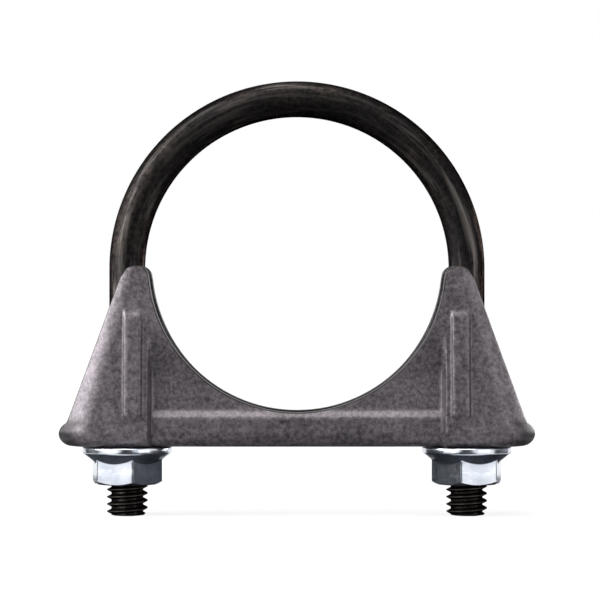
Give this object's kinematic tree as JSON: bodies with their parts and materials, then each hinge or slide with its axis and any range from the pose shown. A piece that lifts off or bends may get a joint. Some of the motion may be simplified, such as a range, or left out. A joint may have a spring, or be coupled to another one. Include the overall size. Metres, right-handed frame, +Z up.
{
  "type": "exhaust clamp",
  "caption": "Saddle clamp for an exhaust pipe: a black round-bar U-bolt through a stamped sheet saddle, closed by hex flange nuts on its threaded legs.",
  "frame": {"origin": "centre of the clamped pipe, on its axis, midway between the saddle's two walls", "axes": "+X from the left leg to the right leg, +Y along the pipe, +Z up from the saddle's base to the crown of the U-bolt"},
  "size_m": [0.092, 0.0182, 0.0845],
  "materials": {
    "black_bar": "satin",
    "saddle_sheet": "satin",
    "zinc_nut": "satin"
  },
  "bodies": {
    "saddle": {"saddle": "saddle_sheet"},
    "u_bolt": {"u_bolt": "black_bar"},
    "left_nut": {"left_nut": "zinc_nut"},
    "right_nut": {"right_nut": "zinc_nut"}
  },
  "joints": [
    {"name": "left_nut_turn", "type": "hinge", "parent": "saddle", "child": "left_nut", "pos_m": [-0.03308, 0, -0.039], "axis": [0, 0, 1], "range_deg": [-1440, 3250]},
    {"name": "right_nut_turn", "type": "hinge", "parent": "saddle", "child": "right_nut", "pos_m": [0.03308, 0, -0.039], "axis": [0, 0, 1], "range_deg": [-1440, 3250]},
    {"name": "u_bolt_slide", "type": "slide", "parent": "saddle", "child": "u_bolt", "axis": [0, 0, 1], "range_m": [-0.0127, 0.0056]}
  ],
  "couplings": [
    {"joint": "left_nut_turn", "follows": "u_bolt_slide", "rad_per_m": -4452.6},
    {"joint": "right_nut_turn", "follows": "u_bolt_slide", "rad_per_m": -4452.6}
  ]
}
